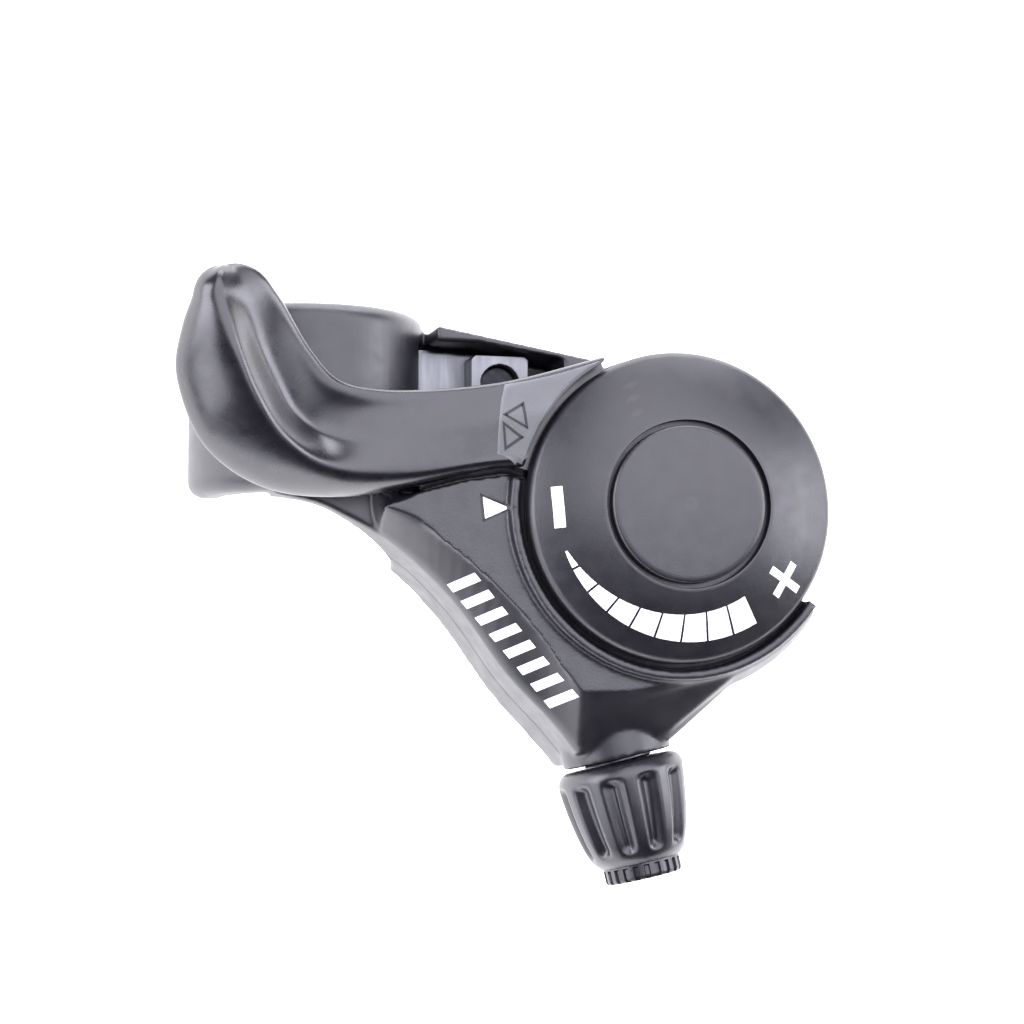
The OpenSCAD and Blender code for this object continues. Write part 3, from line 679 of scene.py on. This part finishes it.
def knob():
    """Fluted knob whose flutes end in rounded troughs, with a ribbed end collar."""
    body = [(KNOB_R - 1.3, 0), (KNOB_R - 0.5, 0.4), (KNOB_R, 1.4), (KNOB_R - 0.02, 2.8),
            (KNOB_R - 0.45, 6), (KNOB_R - 1.2, 9.5), (KNOB_R - 2.05, 11.7), (KNOB_R - 2.8, 12.6),
            (COLLAR_R, KNOB_LEN)]
    body = [Vector(p) for p in body]
    outer = [tuple(spline(body, (len(body) - 1) * u)) for u in steps(72)]
    end = KNOB_LEN + COLLAR_LEN
    collar = [(COLLAR_R, KNOB_LEN + 0.2 * i) for i in range(1, 9)]
    collar += [(COLLAR_R - 0.1, end - 0.15), (COLLAR_R - 0.3, end)]
    bore_r, spring_r = HEAD_R + 0.02, 4.9
    bore = [(bore_r, end), (bore_r, HEAD_LOW), (spring_r, HEAD_LOW), (spring_r, 0)]
    outline = outer + collar + bore
    trough_depth, slot_depth = 0.95, 0.35
    fluted, ribbed = len(outer), len(outer) + len(collar)

    def radius(r, z, a, i):
        if i < fluted:
            phase = abs((a * FLUTES / (2 * math.pi)) % 1 - 0.5) * 2
            trough = ease(1 - phase / 0.74) * ease((z - 1.5) / 1.3) * ease((11.7 - z) / 1.5)
            return r - trough_depth * trough
        if i < ribbed:
            slot = math.cos(a * FLUTES * 2) > 0
            return r - (slot_depth if slot and KNOB_LEN + 0.3 < z < end - 0.1 else 0.0)
        return r
    points, faces = turned(outline, FLUTES * 22, radius)
    obj = piece("knob_grip", stood(points, AT_ADJUSTER), faces, "adjuster_body", "knob_plastic", KNOB,
                smooth=45)
    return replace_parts(obj, "adjuster_knob")


def barrel():
    """Threaded barrel with the casing's seat in its head."""
    thread_pitch, thread_depth, thread_r, inner_end = 0.8, 0.22, 2.95, -9.0
    mouth, seat_r, seat_floor, wire_r = 14.6, 2.6, 7.6, 1.0
    thread = [(seat_r, inner_end)] + [(thread_r, inner_end + 0.1 * i) for i in range(1, 142)]
    head = [(HEAD_R, HEAD_LOW), (HEAD_R, mouth - 0.25), (HEAD_R - 0.2, mouth), (seat_r + 0.3, mouth),
            (seat_r, mouth - 0.3), (seat_r, seat_floor), (wire_r, seat_floor), (wire_r, inner_end)]
    outline = thread + head
    threaded = len(thread)

    def radius(r, z, a, i):
        if 0 < i < threaded:
            phase = (z / thread_pitch - a / (2 * math.pi)) % 1
            return r - thread_depth * abs(phase * 2 - 1)
        return r
    points, faces = turned(outline, 64, radius)
    obj = piece("barrel_thread", stood(points, AT_ADJUSTER), faces, "adjuster_body", "brass", BRASS,
                smooth=40)
    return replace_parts(obj, "adjuster_barrel")


def spring():
    """Detent spring coiled round the adjuster's axis."""
    turns, radius, wire = 4, 3.9, 0.45
    low, rise, around, sides = -1.05, 4.3, 32, 10
    rings = []
    for i in range(turns * around + 1):
        a = 2 * math.pi * i / around
        z = low + wire + rise * i / (turns * around)
        ring = []
        for j in range(sides):
            b = 2 * math.pi * j / sides
            r = radius + wire * math.cos(b)
            ring.append(Vector((r * math.cos(a), r * math.sin(a), z + wire * math.sin(b))))
        rings.append(ring)
    points, faces = closed_grid(rings)
    faces += [tuple(range(sides)), tuple(reversed(range(len(points) - sides, len(points))))]
    obj = piece("detent_spring", stood(points, AT_ADJUSTER), faces, None, "fastener_steel", FASTENER,
                smooth=60)
    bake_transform(obj)
    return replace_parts(obj, "adjuster_spring")


# ------------------------------------------------------------------ bracket and clamp

def bracket():
    """Moulded housing with soft edges and a fine parting line round its side wall."""
    obj = moulded("bracket", "housing_shell", 0.31, 5, "root", "housing_plastic", HOUSING)
    line_z, line_half, line_depth = 6.6, 0.2, 0.12
    rim_r, last_y, upright = 19.5, -14, 0.4
    normals = [v.normal.copy() for v in obj.data.vertices]
    for v, normal in zip(obj.data.vertices, normals):
        p = v.co / MM
        beyond = math.hypot(p.x - PIVOT.x, p.y - PIVOT.y) > rim_r
        if beyond and p.y < last_y and abs(normal.z) < upright:
            v.co -= normal * MM * line_depth * math.exp(-((p.z - line_z) / line_half) ** 2)
    return obj


def pointer_outline(surface):
    """A thin line round the white pointer."""
    corners = [(18.75, -14.35), (23.1, -16.05), (19.1, -17.95)]
    triangle_frame(corners, 0.2, surface, 0.03, "pointer_outline", "root", "housing_plastic")


def side_stripes(surface):
    """A plain row of slanted bars on the sloped flank."""
    start, end = Vector((16.6, -24.4)), Vector((28.9, -38.6))
    along = (end - start).normalized()
    across = Vector((-along.y, along.x))
    bars, width, height, slant = 8, 1.25, 3.0, 0.9
    parts = []
    for i in range(bars):
        foot = mix(start, end, i / (bars - 1)) - across * height / 2
        edge = [foot + across * height * u + along * slant * u for u in steps(6)]
        parts.append(bar_strip(edge, [p + along * width for p in edge], surface, 0.05))
    return piece("side_stripes", *joined(*parts), "root", "white_ink", INK)


def bar_strip(left, right, surface, lift):
    """A thin plate between two lines of points, laid on a surface from above."""
    def on(p, height):
        place_on, normal = touch(surface, p.x, p.y)
        return place_on + normal * height
    n = len(left)
    points = [on(p, lift) for p in left] + [on(p, lift) for p in right]
    points += [on(p, -0.2) for p in left] + [on(p, -0.2) for p in right]
    faces = []
    for i in range(n - 1):
        a, b = i, n + i
        c, d = 2 * n + i, 3 * n + i
        faces += [(a, a + 1, b + 1, b), (c, d, d + 1, c + 1), (a, c, c + 1, a + 1), (b, b + 1, d + 1, d)]
    faces += [(0, n, 3 * n, 2 * n), (n - 1, 3 * n - 1, 4 * n - 1, 2 * n - 1)]
    return points, faces


def steel_pieces():
    """The clamp's pieces and the plate below the housing."""
    moulded("clamp_band", "band_strip", 0.2, 4, "root", "band_steel", BAND)
    moulded("clamp_nut", "nut_square", 0.13, 5, "root", "band_steel", BAND)
    moulded("clamp_bolt", "bolt_socket", 0.14, 4, "root", "fastener_steel", DARK_STEEL)
    moulded("clamp_washer", "washer_plain", 0.12, 3, "root", "fastener_steel", FASTENER)
    moulded("base_plate", "base_plate_pressed", 0.2, 3, "root", "band_steel", BAND)


def carried_over():
    """CAD nodes whose shape is right keep it and get their material."""
    looks = {
        "base_screws": FASTENER, "pivot_post": FASTENER, "spring_washer": FASTENER,
        "keyed_washer": FASTENER, "pivot_screw": FASTENER, "hub_screws": FASTENER, "click_washer": FASTENER,
        "thrust_washer": NYLON, "cable_drum": NYLON, "friction_washer": FIBRE,
        "adjuster_insert": BRASS, "pivot_bush": BRASS,
        "gauge_marks": INK, "pointer_mark": INK,
    }
    for node, look in looks.items():
        obj = frame["nodes"][node]
        obj.data.materials.clear()
        obj.data.materials.append(look)


# ------------------------------------------------------------------ stage

def camera():
    """Looks almost straight down on the dial, with the handlebar's line upright in the picture."""
    azimuth, elevation, distance, view_width = math.radians(-66), math.radians(75.5), 0.45, 0.128
    target = Vector((0.02421, -0.01596, 0.012))
    back = Vector((math.sin(azimuth) * math.cos(elevation), -math.cos(azimuth) * math.cos(elevation),
                   math.sin(elevation)))
    right = Vector((0, 1, 0)).cross(back).normalized()
    data = bpy.data.cameras.new("camera")
    data.sensor_width = 36
    data.lens = data.sensor_width * distance / view_width
    data.clip_start, data.clip_end = 0.01, 10
    obj = bpy.data.objects.new("camera", data)
    COLLECTION.objects.link(obj)
    obj.matrix_world = (Matrix.Translation(target + back * distance)
                        @ Matrix((right, back.cross(right), back)).transposed().to_4x4())
    bpy.context.scene.camera = obj


def softbox(name, direction, distance, width, height, watts):
    """A soft area light that faces the object from a direction."""
    target = Vector((0.025, -0.016, 0.01))
    data = bpy.data.lights.new(name, "AREA")
    data.shape = "RECTANGLE"
    data.size, data.size_y = width, height
    data.energy = watts
    data.color = (0.895, 0.89, 1.0)
    obj = bpy.data.objects.new(name, data)
    COLLECTION.objects.link(obj)
    away = Vector(direction).normalized()
    obj.location = target + away * distance
    obj.rotation_mode = "QUATERNION"
    obj.rotation_quaternion = away.to_track_quat("Z", "Y")


def floor():
    """A pale glowing floor just below the object, which lights its side walls."""
    half, z = 3.0, CAD_BOX[0].z - 0.0006
    mesh = bpy.data.meshes.new("floor")
    corners = [(-half, -half, z), (half, -half, z), (half, half, z), (-half, half, z)]
    mesh.from_pydata(corners, [], [(0, 1, 2, 3)])
    obj = bpy.data.objects.new("floor", mesh)
    COLLECTION.objects.link(obj)
    made, _, shader = material("floor", (0.82, 0.82, 0.83), 0.7, specular=0.2)
    shader.inputs["Emission Color"].default_value = (1, 1, 1, 1)
    shader.inputs["Emission Strength"].default_value = 1.9
    obj.data.materials.append(made)


def light():
    """Soft lights round the object; their reflections give the dark plastic its grey."""
    world = bpy.data.worlds.new("studio")
    bpy.context.scene.world = world
    world.use_nodes = True
    background = world.node_tree.nodes["Background"]
    background.inputs["Color"].default_value = (0.9, 0.92, 1, 1)
    background.inputs["Strength"].default_value = 0.04
    softbox("overhead", (0.15, 0.36, 1), 0.72, 1.0, 0.95, 9.6)
    softbox("right", (0.95, 0.1, 0.46), 0.7, 0.4, 0.42, 3.4)
    softbox("left", (-0.95, 0.22, 0.42), 0.7, 0.5, 0.45, 4.6)
    softbox("left_front", (-0.8, -0.42, 0.36), 0.7, 0.36, 0.3, 1.5)
    softbox("back_low", (0.2, 0.97, 0.18), 0.8, 0.7, 0.3, 4.5)
    softbox("front_low", (-0.25, -0.96, 0.06), 0.8, 0.8, 0.16, 1.5)
    bpy.context.scene.view_settings.view_transform = "Standard"


camera()
light()
floor()
carried_over()
steel_pieces()
housing_surface = surface_of(bracket())
side_stripes(housing_surface)
pointer_outline(housing_surface)
arm = lever()
panel = end_panel(surface_of(arm))
panel_triangles(surface_of(arm, panel))
dial()
cap()
knob()
barrel()
spring()
